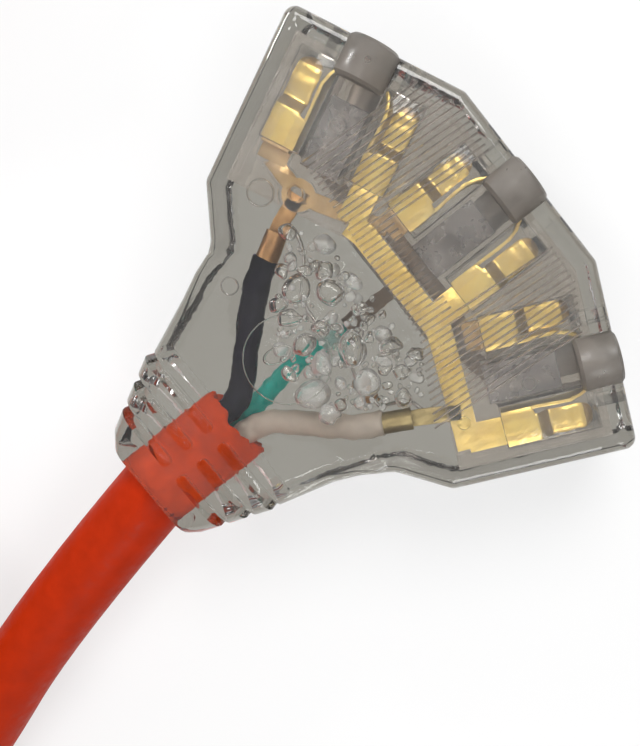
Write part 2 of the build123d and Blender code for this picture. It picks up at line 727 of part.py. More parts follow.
def cord():
    """The cord from the neck to the coil, cut flush with the end of the neck."""
    tube = bent_wire(CORD_RUN, CORD_R)
    wide = CORD_D * 2
    return tube - rect(CORD_X - wide, CORD_X + wide, NECK_END_Y, NECK_END_Y + wide, 0, wide * 2)


def coil_centre():
    """The middle of the coil, so that the lead runs into its first turn without a bend."""
    (x0, y0, _), (x1, y1, _) = CORD_RUN[-2:]
    heading = atan2(x1 - x0, y0 - y1)
    return (x1 - COIL_R * cos(heading), y1 - COIL_R * sin(heading)), degrees(heading)


def coil_angle():
    """How far the cord turns in the coil, so that it leaves it heading along +Y."""
    return coil_centre()[1] + COIL_HALF_TURNS * 180


def ring_part(start, end, z0, z1):
    """A stretch of the coil's outer shape, between two turning angles and two heights."""
    (x, y), first = coil_centre()
    outline = Rectangle(CORD_D, z1 - z0)
    section = Plane.XZ * Pos(COIL_R, (z0 + z1) / 2) * chamfer(outline.vertices(), CORD_R * 0.5)
    ring = revolve(section, Axis.Z, revolution_arc=end - start)
    return Pos(x, y, 0) * Rot(0, 0, first - end) * ring


def cord_coil():
    """The coil's outer shape: a turn on the floor, and more than half a turn on top of it."""
    end = coil_angle()
    coil = ring_part(0, COIL_LIFT_TO, 0, CORD_D)
    coil += ring_part(COIL_LIFT_FROM, end, COIL_LAYER, COIL_LAYER + CORD_D)
    coil += ring_part(COIL_LIFT_FROM, COIL_LIFT_TO, CORD_R, COIL_LAYER + CORD_R)
    return coil + ring_part(360, end, CORD_R, COIL_LAYER + CORD_R)


def coil_end():
    """The point at which the cord leaves the coil."""
    (x, y), first = coil_centre()
    angle = radians(first - coil_angle())
    return Vector(x + COIL_R * cos(angle), y + COIL_R * sin(angle), COIL_LAYER + CORD_R)


def tail_route():
    start = coil_end()
    return [start + Vector(*step) for step in TAIL_RUN]


def coil_tie():
    """A strap round both turns of the coil."""
    (x, y), first = coil_centre()
    height = COIL_LAYER + CORD_D + 0.2
    inner = Box(CORD_D + 0.3, TIE_W + 2, height)
    outer = Box(CORD_D + 0.3 + 2 * TIE_T, TIE_W, height + 2 * TIE_T)
    outer = fillet(outer.edges().filter_by(Axis.Y), TIE_T * 2)
    band = Pos(COIL_R, 0, height / 2) * (outer - inner)
    band &= rect(0, COIL_R * 2, -TIE_W, TIE_W, 0.02, height * 2)
    return Pos(x, y, 0) * Rot(0, 0, first - TIE_AT) * band


def plug_place():
    """The plug's frame: y out of its face, from the end of the cord's tail."""
    last, end = tail_route()[-2:]
    heading = degrees(atan2(end.Y - last.Y, end.X - last.X)) - 90
    return Location((end.X, end.Y, 0), (0, 0, heading))


def plug_body():
    """The moulded plug: a waisted grip with a square face, and a tapered strain relief."""
    face_y = PLUG_NECK_L + PLUG_L
    z = PLUG_T / 2
    sections = [
        (PLUG_NECK_L, PLUG_W * 0.62, PLUG_T * 0.72),
        (PLUG_NECK_L + PLUG_L * 0.4, PLUG_W * 0.8, PLUG_T * 0.84),
        (face_y - PLUG_FACE_L, PLUG_W, PLUG_T),
    ]
    profiles = [
        Plane(origin=(0, y, z), x_dir=(1, 0, 0), z_dir=(0, 1, 0)) * RectangleRounded(w, h, w * 0.24)
        for y, w, h in sections
    ]
    grip = loft(profiles, ruled=True)
    front = Plane(origin=(0, face_y - PLUG_FACE_L, z), x_dir=(1, 0, 0), z_dir=(0, 1, 0))
    grip += extrude(front * RectangleRounded(PLUG_W, PLUG_T, PLUG_W * 0.24), PLUG_FACE_L)
    taper = Pos(0, PLUG_NECK_L / 2 + 1, z) * Rot(-90, 0, 0) * Cone(
        PLUG_NECK_END_R, PLUG_W * 0.3, PLUG_NECK_L + 2
    )
    body = grip + taper
    for pin in (plug_blade(-1, FIT_GAP), plug_blade(1, FIT_GAP), plug_earth_pin(FIT_GAP)):
        body -= plug_place().inverse() * pin
    return plug_place() * body


def plug_blade(side, grow=0.0):
    face_y = PLUG_NECK_L + PLUG_L
    across = side * BLADE_PITCH / 2
    half_t = BLADE_T / 2 + grow
    half_h = BLADE_H / 2 + grow
    blade = rect(
        across - half_t,
        across + half_t,
        face_y - PLUG_ROOT_L - grow,
        face_y + PLUG_BLADE_L,
        PLUG_BLADE_Z - half_h,
        PLUG_BLADE_Z + half_h,
    )
    if not grow:
        tip = blade.edges().filter_by(Axis.Z).group_by(Axis.Y)[-1]
        blade = chamfer(tip, BLADE_T * 0.3)
    return plug_place() * blade


def plug_earth_pin(grow=0.0):
    face_y = PLUG_NECK_L + PLUG_L
    start = face_y - PLUG_ROOT_L - grow
    end = face_y + PLUG_EARTH_L
    pin = Pos(0, (start + end) / 2, PLUG_BLADE_Z - EARTH_DROP) * Rot(-90, 0, 0) * Cylinder(
        EARTH_PIN_R + grow, end - start
    )
    if not grow:
        tip = pin.edges().filter_by(GeomType.CIRCLE).sort_by(Axis.Y)[-1]
        pin = chamfer(tip, EARTH_PIN_R * 0.9, EARTH_PIN_R * 0.6)
    return plug_place() * pin


def parts():
    leads = {name: bent_wire(route, LEAD_R) for name, route in lead_routes().items()}
    return {
        "outer_body": outer_body(),
        "contact_carrier": contact_carrier(),
        "carrier_lid": carrier_lid(),
        "earth_cover": earth_cover(),
        "live_bus": live_bus(),
        "neutral_bus": neutral_bus(),
        "earth_bus": earth_bus(),
        "live_wire": wire("live"),
        "neutral_wire": wire("neutral"),
        "earth_wire": wire("earth"),
        "live_strands": strands("live"),
        "neutral_strands": strands("neutral"),
        "earth_strands": strands("earth"),
        "indicator_lamp": lamp(),
        "lamp_resistor": resistor(),
        **leads,
        "jacket_end": jacket_end(),
        "cord": cord(),
        "cord_coil": cord_coil(),
        "cord_tail": bent_wire(tail_route(), CORD_R),
        "coil_tie": coil_tie(),
        "plug_body": plug_body(),
        "plug_live_blade": plug_blade(-1),
        "plug_neutral_blade": plug_blade(1),
        "plug_earth_pin": plug_earth_pin(),
    }


def main():
    os.makedirs("parts", exist_ok=True)
    for name, solid in parts().items():
        solid.label = name
        export_step(solid, f"parts/{name}.step")
    for name, route in (("cord", [Vector(*p) for p in CORD_RUN]), ("cord_tail", tail_route())):
        radii = [round(r, 1) for r in corner_radii(route)]
        run = sum((b - a).length for a, b in zip(route, route[1:]))
        print(name, "arc radii", radii, "runs", round(run, 1))
    turns = coil_angle() / 360
    print("coil", round(turns, 2), "turns,", round(turns * 2 * pi * COIL_R, 1), "mm of cord")


main()
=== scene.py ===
"""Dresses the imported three-outlet adapter lead. Lengths are in mm and become metres in make()."""
from math import atan2, cos, pi, radians, sin, tan
from random import Random

import bmesh
import bpy
from mathutils import Matrix, Vector
from mathutils.bvhtree import BVHTree


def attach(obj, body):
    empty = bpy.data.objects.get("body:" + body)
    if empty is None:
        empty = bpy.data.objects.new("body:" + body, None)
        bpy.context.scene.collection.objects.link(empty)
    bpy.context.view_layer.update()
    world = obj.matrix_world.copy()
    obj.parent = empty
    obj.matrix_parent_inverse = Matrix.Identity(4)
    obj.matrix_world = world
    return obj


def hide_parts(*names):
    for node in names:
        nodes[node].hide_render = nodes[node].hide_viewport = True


MM = 0.001

# Tap, as in part.py
OUTLET_ANGLE = radians(24.6)
MIDDLE_FACE_W = 31.6
OUTER_FACE_W = 29.0
OUTER_SIDE_L = 29.0
FRONT_Y = 39.0
NECK_END_Y = -39.0
BODY_T = 26.0
MID_Z = BODY_T / 2
WAIST_HALF = 21.4
WAIST_Y = FRONT_Y - 45.4
WAIST_L = 1.6
WAIST_FLARE = 1.2
WAIST_R = 4.5
SHOULDER_R = 2.2
FACE_CORNER_R = 1.9
RIM_R = 1.7
NECK_TOP_Y = NECK_END_Y + 15.0
NECK_TOP_HALF = 16.2
NECK_TOP_T = 21.6
NECK_END_HALF = 10.0
NECK_END_T = 19.0
LOBE_R = 4.05
LOBE_L = 6.4
LOBE_SOFT = 0.5  # its rounded ends
LOBE_SETBACK = 0.03  # from the outlet face
LOBE_ROOT = 2.0  # how deep it sits in the body
RIB_COUNT = 3
RIB_PITCH = 4.45
RIB_FIRST = 6.0
RIB_W = 1.9
RIB_D = 1.7
RIB_END_R = 0.94
RIB_BRIDGE = 2.4
BLADE_PITCH = 12.7
BLADE_Z = 17.6
EARTH_Z = BLADE_Z - 11.9
SLOT_T = 2.1
SLOT_H = {-1: 7.2, 1: 8.6}
EARTH_HOLE_R = 2.65
WALL = 4.5  # from an outlet face to its chambers
CHAMBER_REAR = 19.5
CHAMBER_IN = 3.5
CHAMBER_OUT = 10.7
CHAMBER_Z = 13.0
CHAMBER_EASE = 0.25  # how much narrower the air is than the carrier's chamber
WELL_HALF = 3.1
WELL_FRONT = 9.0
WELL_REAR = 20.4
WELL_FLOOR = 12.0
WELL_TOP = 22.6
WELL_EDGE = 0.3
PLATE_Z = 21.4
PLATE_TOP = 22.0
BRASS_T = 0.6
PLATE_IN = 4.9
PLATE_OUT = 10.3
PLATE_MID = 7.6
PLATE_REAR = 19.2
# JOGGLE is the span of depths painted dark as shade over each contact's joggle; TIP_L is the depth of its
# darker tip.
JOGGLE = (11.9, 13.8)
TIP_L = 6.4
NEUTRAL_RUN = 25.0
NEUTRAL_W = 3.9
NEUTRAL_ARM_W = 4.4
NEUTRAL_BENDS = (-9.0, 9.6)
NEUTRAL_OVERRUN = 1.6
LIVE_Z = 18.2
LIVE_RUN = 21.6
LIVE_W = 2.6
LIVE_HOLE_R = 1.15
LIVE_FOLD_IN = 0.4  # how much narrower its risers are than a plate, each side
TAIL_W = 2.6
CRIMP_R = 1.75
CRIMP_L = 4.6
CRIMP_WALL = 0.45
LIVE_TAIL = [(-20.2, FRONT_Y - 29.2), (-18.6, FRONT_Y - 34.0), (-15.6, FRONT_Y - 39.4)]
NEUTRAL_TAIL = [(21.6, FRONT_Y - 30.1), (18.4, FRONT_Y - 35.4), (15.4, FRONT_Y - 40.8)]
LIVE_BEND = (-11.8, FRONT_Y - 24.4)
SLEEVE_REAR_Y = 16.0

# A contact's finger and leaves; depths are from the outlet face
PLATE_FRONT = 14.6
NOTCH_W = 1.3
JOGGLE_START = 14.0
JOGGLE_L = 2.3
JOGGLE_DROP = 1.5
FINGER_CROWN = 0.35
TIP_START = 7.4
TIP_RUN = 2.3
TIP_DROP = 1.1
TIP_MIN_HALF = 0.25
LEAF_T = 0.5
LEAF_LOW = 14.4
OUTER_LEAF_TOP = 18.9
INNER_LEAF = [(5.15, -PLATE_REAR), (5.15, -13.6), (5.3, -10.4), (5.3, -8.2), (4.8, -6.4), (3.9, -4.9)]
OUTER_LEAF = [(10.0, -PLATE_REAR), (10.0, -13.6), (7.5, -10.4), (7.5, -8.2), (8.1, -6.4), (8.9, -5.2)]

# Cord, as in part.py
CORD_D = 13.0
CORD_R = CORD_D / 2
CORD_X = 1.0
CORD_Z = 13.0
JACKET_END_Y = NECK_END_Y + 18.0
CORD_RUN = [
    (CORD_X, NECK_END_Y, CORD_Z),
    (CORD_X + 6.0, NECK_END_Y - 32.5, CORD_Z + 0.6),
    (CORD_X + 16.5, NECK_END_Y - 64.5, CORD_R),
    (CORD_X + 25.0, NECK_END_Y - 98.0, CORD_R),
]
COIL_R = 73.0
COIL_HALF_TURNS = 3
COIL_LIFT = (288.0, 318.0)
COIL_LAYER = CORD_D + 0.4
PLUG_MID_Z = 13.0
TAIL_DROP = COIL_LAYER + CORD_R - PLUG_MID_Z
TAIL_RUN = [(0.0, 22.0, 0.0), (3.0, 45.0, -TAIL_DROP / 6), (6.0, 68.0, -TAIL_DROP), (6.0, 90.0, -TAIL_DROP)]
COIL_POINTS_PER_TURN = 16

# Torn end of the jacket: height, count and phase of its waves round the cord
JACKET_T = 1.9
TORN_WAVES = ((0.35, 3, 1), (0.3, 7, 0), (0.22, 13, 2))
TORN_JITTER = 0.12
TORN_BEVEL = 0.35
JACKET_BORE_L = 7.0

# Grip grooves in the near side
GROOVE_TURN = radians(-4.5)
GROOVE_PITCH = 1.0
GROOVE_W = 0.34
GROOVE_D = 0.38
GROOVE_FLOOR_SHARE = 0.2
GROOVE_X = (-22.0, 22.9)
GROOVE_FROM_FRONT = 3.2
GROOVE_FROM_SIDE = 0.4
GROOVE_PIVOT_Y = FRONT_Y - 17
WINDOW_X = (-8.0, 9.0)  # the stretch where they stop short of the middle outlet
WINDOW_REAR = 18.4

# Air bubbles over the wires: outline in plan, span of their middles, and sizes with the number of tries
BUBBLE_ZONE = [
    (-18.0, 6.0),
    (-10.0, 9.5),
    (12.0, 9.5),
    (17.0, 4.5),
    (10.0, -8.0),
    (2.0, -10.0),
    (-7.0, -5.0),
]
BUBBLE_X = (-19, 17)
BUBBLE_Y = (-19, 9)
BUBBLE_Z = (20.6, 24.3)
BUBBLE_TOP = 25.3
BUBBLE_SIZES = ((1.9, 20), (1.3, 90), (0.8, 280), (0.42, 520))
BUBBLE_LUMPS = 0.2
BUBBLE_SPACING = 1.08
BUBBLE_CLEARANCE = 1.6  # from what is embedded, in radii

# Thin rings of air in the moulding: middle, radius and thickness
PIN_RINGS = [
    ((8.2, 4.8, 24.4), 1.6, 0.14),
    ((-23.5, 5.9, 23.9), 2.0, 0.13),
    ((-12.3, 7.0, 24.4), 0.66, 0.12),
    ((14.5, 3.3, 24.4), 1.2, 0.13),
    ((-15.6, -6.7, 24.2), 1.3, 0.12),
    ((11.2, 6.4, 24.5), 0.7, 0.12),
    ((-23.8, 21.3, 24.4), 1.2, 0.12),
    ((24.3, 19.8, 24.4), 1.0, 0.12),
    ((-1.4, -6.9, 24.9), 6.9, 0.10),
]
WIRE_RING_AT = (-2.9, -7.6, 24.2)

# Stage
FLOOR_HALF = 900
FLOOR_Z = -0.3
FLOOR_WHITE = 0.8
FLOOR_GLOW = 0.6
# The floor seen through the plastic: mid grey, a painted shadow.
SHADOW_SEEN_THROUGH = (0.30, 0.288, 0.258, 1)  # the floor, seen through the plastic
SKY = ((0.0, 0.15), (0.3, 0.26), (0.55, 0.55), (1.0, 0.74))  # from just under the horizon to overhead
LAMPS = (
    ("key", (-190, 260, 420), 240, 1.6),
    ("fill", (300, -140, 380), 200, 0.8),
    ("rim", (-420, -60, 150), 90, 0.8),
)

# Camera, fitted to the corners of the body in the photo
CAMERA_AT = (3.26, 24.24, 161.97)
CAMERA_TURN = (51.86, -6.68, 2.61)  # degrees about Z, then X, then Y
CAMERA_LENS = 43.79
CAMERA_SHIFT = (-0.1409, -0.0135)

rng = Random(5)
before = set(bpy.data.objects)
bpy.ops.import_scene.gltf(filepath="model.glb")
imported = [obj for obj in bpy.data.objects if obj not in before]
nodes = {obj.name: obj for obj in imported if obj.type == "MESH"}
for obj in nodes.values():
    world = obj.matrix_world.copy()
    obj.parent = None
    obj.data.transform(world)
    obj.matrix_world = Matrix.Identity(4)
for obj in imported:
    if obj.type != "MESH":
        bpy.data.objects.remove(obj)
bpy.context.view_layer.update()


# Materials
def material(name):
    made = bpy.data.materials.new(name)
    made.use_nodes = True
    tree = made.node_tree
    return made, tree, tree.nodes["Principled BSDF"]


def add(tree, kind, **values):
    """A node, with its properties and its input sockets set by name."""
    node = tree.nodes.new(kind)
    for key, value in values.items():
        if hasattr(node, key):
            setattr(node, key, value)
        else:
            node.inputs[key.replace("_", " ")].default_value = value
    return node


def noise(tree, scale, detail, stretch=(1, 1, 1)):
    """Noise in object coordinates; scale is in waves a metre."""
    where = add(tree, "ShaderNodeTexCoord")
    mapping = add(tree, "ShaderNodeMapping")
    mapping.inputs["Scale"].default_value = stretch
    tree.links.new(where.outputs["Object"], mapping.inputs["Vector"])
    made = add(tree, "ShaderNodeTexNoise", Scale=scale, Detail=detail, Roughness=0.55)
    tree.links.new(mapping.outputs["Vector"], made.inputs["Vector"])
    return made.outputs["Fac"]


def ramp(tree, source, stops):
    node = tree.nodes.new("ShaderNodeValToRGB")
    elements = node.color_ramp.elements
    while len(elements) < len(stops):
        elements.new(0.5)
    for element, (place, colour) in zip(elements, stops):
        element.position = place
        element.color = colour if len(colour) == 4 else (*colour, 1)
    tree.links.new(source, node.inputs["Fac"])
    return node.outputs["Color"]


def remap(tree, source, lo, hi, out_lo, out_hi):
    node = tree.nodes.new("ShaderNodeMapRange")
    for name, value in (("From Min", lo), ("From Max", hi), ("To Min", out_lo), ("To Max", out_hi)):
        node.inputs[name].default_value = value
    tree.links.new(source, node.inputs["Value"])
    return node.outputs["Result"]


def bump(tree, shader, source, distance):
    node = add(tree, "ShaderNodeBump", Strength=1.0, Distance=distance)
    tree.links.new(source, node.inputs["Height"])
    tree.links.new(node.outputs["Normal"], shader.inputs["Normal"])


def grey(value):
    return (value, value, value, 1)


def clear_plastic(name, haze, roughness, ior, wave=0.00012, tint=(0.95, 0.945, 0.92, 1)):
    """Clear moulded plastic: haze is the share of light that it scatters."""
    made, tree, shader = material(name)
    shader.inputs["Base Color"].default_value = tint
    shader.inputs["IOR"].default_value = ior
    clearness = remap(tree, noise(tree, 160, 4), 0.35, 0.7, 1 - haze * 0.6, 1 - haze * 1.5)
    tree.links.new(clearness, shader.inputs["Transmission Weight"])
    dull = remap(tree, noise(tree, 420, 3), 0.3, 0.7, roughness * 0.5, roughness * 1.6)
    tree.links.new(dull, shader.inputs["Roughness"])
    bump(tree, shader, noise(tree, 130, 3), wave)
    return made


def stamped_brass(name, light, dark, rough):
    """Rolled metal with soft patches of tone and fine scratches along one way."""
    made, tree, shader = material(name)
    shader.inputs["Metallic"].default_value = 1.0
    patches = noise(tree, 220, 6)
    tree.links.new(ramp(tree, patches, [(0.3, dark), (0.62, light)]), shader.inputs["Base Color"])
    scratches = noise(tree, 700, 5, stretch=(1, 0.15, 1))
    tree.links.new(remap(tree, scratches, 0.3, 0.7, rough * 0.75, rough * 1.35), shader.inputs["Roughness"])
    bump(tree, shader, noise(tree, 900, 4, stretch=(1, 0.5, 1)), 0.00013)
    return made


def plain_plastic(name, colour, rough, spread, shine=0.5):
    """Opaque soft plastic: spread is how far its colour varies either way."""
    made, tree, shader = material(name)
    shader.inputs["Specular IOR Level"].default_value = shine
    low = tuple(c * (1 - spread) for c in colour)
    high = tuple(min(c * (1 + spread), 1) for c in colour)
    tone = ramp(tree, noise(tree, 300, 5), [(0.3, low), (0.7, high)])
    tree.links.new(tone, shader.inputs["Base Color"])
    dull = remap(tree, noise(tree, 600, 3), 0.3, 0.7, rough * 0.8, rough * 1.25)
    tree.links.new(dull, shader.inputs["Roughness"])
    bump(tree, shader, noise(tree, 450, 4), 0.00008)
    return made


CLEAR = clear_plastic("clear_moulding", 0.012, 0.015, 1.49, wave=0.00024)
MILKY = clear_plastic("milky_bubble", 0.26, 0.18, 1.49, wave=0.0003)
# Side walls: hazy, and tinted dark grey as painted shade for the dark band round the rim.
SIDE = clear_plastic("side_wall_painted_shade", 0.22, 0.06, 1.49, tint=(0.40, 0.375, 0.355, 1))
# Groove walls: hazy, and tinted darker as painted shade in the recess.
SHADED_GROOVE = clear_plastic("grip_groove", 0.38, 0.16, 1.49, tint=(0.54, 0.49, 0.45, 1))
# Lobes: frosted, and tinted dark as painted shade.
FROSTED_SHADED = clear_plastic("frosted_lobe_painted_shade", 0.36, 0.48, 1.49, tint=(0.28, 0.25, 0.222, 1))
# Well walls: the middle outlet's are tinted darker than the outer two's, a shaded and a lit copy; the
# darker tint is painted shade.
WELL = clear_plastic("well_wall", 0.42, 0.30, 1.49, tint=(0.52, 0.475, 0.45, 1))
SIDE_WELL = clear_plastic("side_well_wall", 0.28, 0.30, 1.49, tint=(0.84, 0.80, 0.79, 1))
INNER = clear_plastic("inner_moulding", 0.072, 0.05, 1.09, tint=(1.0, 0.975, 0.95, 1))
BRASS = stamped_brass("stamped_brass", (1.0, 0.77, 0.25), (0.92, 0.65, 0.18), 0.36)
# Dark brown brass, a painted shade: on the live run past the middle outlet and on the earth bus.
SHADED_BRASS = stamped_brass("painted_shade_brass", (0.26, 0.20, 0.15), (0.16, 0.12, 0.09), 0.45)
VEILED_BRASS = stamped_brass("veiled_brass", (0.60, 0.56, 0.51), (0.48, 0.44, 0.40), 0.5)
# Dark brass for the joggle band: painted shade where the strip bends down.
JOGGLE_SHADE_BRASS = stamped_brass("joggle_painted_shade", (0.52, 0.36, 0.10), (0.34, 0.22, 0.06), 0.42)
TIP_BRASS = stamped_brass("tip_brass", (0.60, 0.40, 0.12), (0.22, 0.12, 0.04), 0.45)
DEEP_BRASS = stamped_brass("deep_brass", (0.74, 0.51, 0.25), (0.54, 0.35, 0.14), 0.38)
TAIL_BRASS = stamped_brass("crimped_brass", (0.46, 0.36, 0.17), (0.26, 0.19, 0.09), 0.42)
COPPER = stamped_brass("copper_strand", (0.56, 0.33, 0.15), (0.34, 0.17, 0.07), 0.4)
TINNED = stamped_brass("tinned_lead", (0.75, 0.73, 0.70), (0.5, 0.48, 0.45), 0.3)
ORANGE = plain_plastic("orange_jacket", (0.37, 0.019, 0.0006), 0.50, 0.10, shine=0.10)
# The jacket in the neck is a brighter orange than the cord outside, painted light for the light the plastic
# holds back.
JACKET = plain_plastic("jacket_in_neck_painted_light", (0.70, 0.058, 0.001), 0.45, 0.10, shine=0.05)
BLACK = plain_plastic("black_insulation", (0.006, 0.004, 0.012), 0.3, 0.4, shine=0.05)
WHITE = plain_plastic("white_insulation", (0.54, 0.455, 0.37), 0.45, 0.08)
GREEN = plain_plastic("green_insulation", (0.003, 0.42, 0.34), 0.3, 0.25, shine=0.2)
BROWN = plain_plastic("resistor_brown", (0.42, 0.22, 0.08), 0.4, 0.3)
STRAP = plain_plastic("black_strap", (0.02, 0.02, 0.022), 0.6, 0.3)
LAMP = clear_plastic("lamp_glass", 0.25, 0.05, 1.2)


# Mesh tools
def make(name, points, faces, surface, sharp=30.0):
    """A mesh object from points in mm."""
    mesh = bpy.data.meshes.new(name)
    mesh.from_pydata([Vector(p) * MM for p in points], [], faces)
    mesh.validate()
    made = bpy.data.objects.new(name, mesh)
    bpy.context.scene.collection.objects.link(made)
    dress(made, surface)
    tidy(made, sharp)
    return made


def dress(piece, surface):
    piece.data.materials.clear()
    piece.data.materials.append(surface)


def tidy(piece, sharp):
    """Smooth shading, with sharp edges where faces meet at more than an angle."""
    work = bmesh.new()
    work.from_mesh(piece.data)
    bmesh.ops.recalc_face_normals(work, faces=work.faces)
    work.to_mesh(piece.data)
    work.free()
    shade(piece, sharp)


def shade(piece, sharp):
    piece.data.shade_smooth()
    piece.data.set_sharp_from_angle(angle=radians(sharp))


def cut(piece, tool, operation="DIFFERENCE"):
    """Cuts, joins or intersects a mesh with another, and removes the tool."""
    change = piece.modifiers.new("cut", "BOOLEAN")
    change.object = tool
    change.operation = operation
    change.solver = "EXACT"
    change.material_mode = "TRANSFER"
    graph = bpy.context.evaluated_depsgraph_get()
    graph.update()
    mesh = bpy.data.meshes.new_from_object(piece.evaluated_get(graph))
    piece.modifiers.clear()
    piece.data = mesh
    bpy.data.objects.remove(tool)


def joined(pieces):
    """One object with the meshes and materials of several."""
    first = pieces[0]
    surfaces = []
    work = bmesh.new()
    for piece in pieces:
        piece.data.transform(piece.matrix_world)
        start = len(work.faces)
        work.from_mesh(piece.data)
        for surface in piece.data.materials:
            if surface not in surfaces:
                surfaces.append(surface)
        places = [surfaces.index(surface) for surface in piece.data.materials]
        work.faces.ensure_lookup_table()
        for face in work.faces[start:]:
            face.material_index = places[face.material_index]
    first.data.materials.clear()
    for surface in surfaces:
        first.data.materials.append(surface)
    work.to_mesh(first.data)
    work.free()
    first.matrix_world = Matrix.Identity(4)
    for piece in pieces[1:]:
        bpy.data.objects.remove(piece)
    return first


def united(pieces):
    """One solid from several that overlap."""
    first = pieces[0]
    for other in pieces[1:]:
        cut(first, other, "UNION")
    return first


def rounded(points, radii, steps=6):
    """A closed outline with its corners turned into arcs."""
    out = []
    count = len(points)
    for i, (point, radius) in enumerate(zip(points, radii)):
        here = Vector(point)
        back = (Vector(points[i - 1]) - here).normalized()
        on = (Vector(points[(i + 1) % count]) - here).normalized()
        if radius <= 0:
            out.append(tuple(here))
            continue
        half = back.angle(on) / 2
        reach = radius / tan(half)
        centre = here + (back + on).normalized() * radius / sin(half)
        first = here + back * reach - centre
        last = here + on * reach - centre
        turn = first.angle_signed(last)
        for k in range(steps + 1):
            out.append(tuple(centre + Matrix.Rotation(-turn * k / steps, 2) @ first))
    return out


def inset(outline, amount):
    """A closed outline moved inwards; it runs anticlockwise."""
    count = len(outline)
    out = []
    for i in range(count):
        before, here, after = (Vector(outline[k % count]) for k in (i - 1, i, i + 1))
        first, second = (here - before).normalized(), (after - here).normalized()
        middle = (first + second).normalized()
        reach = amount / max(middle.dot(first), 0.4)
        out.append((here.x - middle.y * reach, here.y + middle.x * reach))
    return out


def stack(name, rings, surface, sharp=30.0):
    """A closed mesh from rings of points of equal count, one above the other."""
    points = [p for ring in rings for p in ring]
    count = len(rings[0])
    faces = [list(range(count))[::-1], [len(points) - count + k for k in range(count)]]
    for level in range(len(rings) - 1):
        for k in range(count):
            a, b = level * count + k, level * count + (k + 1) % count
            faces.append([a, b, b + count, a + count])
    return make(name, points, faces, surface, sharp)


def slab(name, outline, z0, z1, surface, edge=0.0, steps=3):
    """An upright prism with rounded rims."""
    rings = []
    for k in range(steps + 1 if edge else 1):
        angle = pi / 2 * k / steps
        rings.append((edge * (1 - sin(angle)), z0 + edge * (1 - cos(angle))))
    rings += [(off, z0 + z1 - z) for off, z in reversed(rings)]
    return stack(name, [[(x, y, z) for x, y in inset(outline, off)] for off, z in rings], surface)


def block(x0, x1, y0, y1, z0, z1, surface=None, edge=0.0):
    outline = [(x0, y0), (x1, y0), (x1, y1), (x0, y1)]
    return slab("block", outline, z0, z1, surface or CLEAR, edge)


def rod(start, end, radius, surface, sides):
    first, last = Vector(start), Vector(end)
    turn = (last - first).to_track_quat("Z", "Y")
    rings = []
    for spot in (first, last):
        ring = []
        for k in range(sides):
            angle = 2 * pi * k / sides
            ring.append(spot + turn @ Vector((cos(angle) * radius, sin(angle) * radius, 0)))
        rings.append(ring)
    return stack("rod", rings, surface)


def outlet(side):
    """Where an outlet's face is: x across it, y out of it."""
    x = side * (MIDDLE_FACE_W / 2 + OUTER_FACE_W / 2 * cos(OUTLET_ANGLE))
    y = FRONT_Y - abs(side) * OUTER_FACE_W / 2 * sin(OUTLET_ANGLE)
    return Matrix.Translation((x * MM, y * MM, 0)) @ Matrix.Rotation(-side * OUTLET_ANGLE, 4, "Z")


def place(piece, matrix):
    piece.data.transform(matrix)
    return piece


def outlet_point(side, across, inward):
    spot = outlet(side) @ Vector((across * MM, -inward * MM, 0)) / MM
    return spot.x, spot.y


def mirrored(points):
    return points + [(-x, y) for x, y in reversed(points)]


# Clear body
def fan():
    """The fan end of the body."""
    right = [
        (WAIST_HALF - 0.3, WAIST_Y - 0.5),
        (WAIST_HALF + WAIST_FLARE, WAIST_Y + WAIST_L),
        outlet_point(1, OUTER_FACE_W / 2, OUTER_SIDE_L),
        outlet_point(1, OUTER_FACE_W / 2, 0),
        (MIDDLE_FACE_W / 2, FRONT_Y),
    ]
    radii = [0, WAIST_R, SHOULDER_R, FACE_CORNER_R, FACE_CORNER_R]
    outline = rounded(mirrored(right), radii + radii[::-1])
    made = slab("clear_body", outline, 0, BODY_T, CLEAR, edge=RIM_R, steps=5)
    # Its upright faces take the dark side wall tint, a painted shade.
    made.data.materials.append(SIDE)
    for face in made.data.polygons:
        if abs(face.normal.z) < 0.2:
            face.material_index = 1
    return made


def neck_ring(y, left, right, thick, corner):
    """A cross-section of the neck, as a ring of points."""
    outline = [(left, -thick / 2), (right, -thick / 2), (right, thick / 2), (left, thick / 2)]
    return [(x, y, MID_Z + z) for x, z in rounded(outline, [corner] * 4, 5)]


def neck(shrink=0.0):
    """The neck, from stations of y, left edge, right edge, thickness and corner radius."""
    stations = [
        (WAIST_Y + 1.0, -WAIST_HALF, WAIST_HALF, BODY_T, 1.1),
        (WAIST_Y, -WAIST_HALF, WAIST_HALF, BODY_T, 1.1),
        (WAIST_Y - 3.2, -20.6, 19.6, BODY_T - 1.0, 1.4),
        (WAIST_Y - 7.3, -19.0, 18.0, BODY_T - 2.0, 1.8),
        (NECK_TOP_Y + 0.7, -15.7, 15.8, NECK_TOP_T + 0.2, 2.5),
        (NECK_TOP_Y - 0.2, -16.4, 15.9, NECK_TOP_T, 2.6),
        (NECK_END_Y + 2.0, -10.6, 11.7, NECK_END_T + 0.3, 3.6),
        (NECK_END_Y, CORD_X - NECK_END_HALF + 0.5, CORD_X + NECK_END_HALF - 0.5, NECK_END_T - 1.0, 3.4),
    ]
    rings = [neck_ring(y, a + shrink, b - shrink, t - 2 * shrink, c) for y, a, b, t, c in stations]
    return stack("neck", rings, CLEAR)


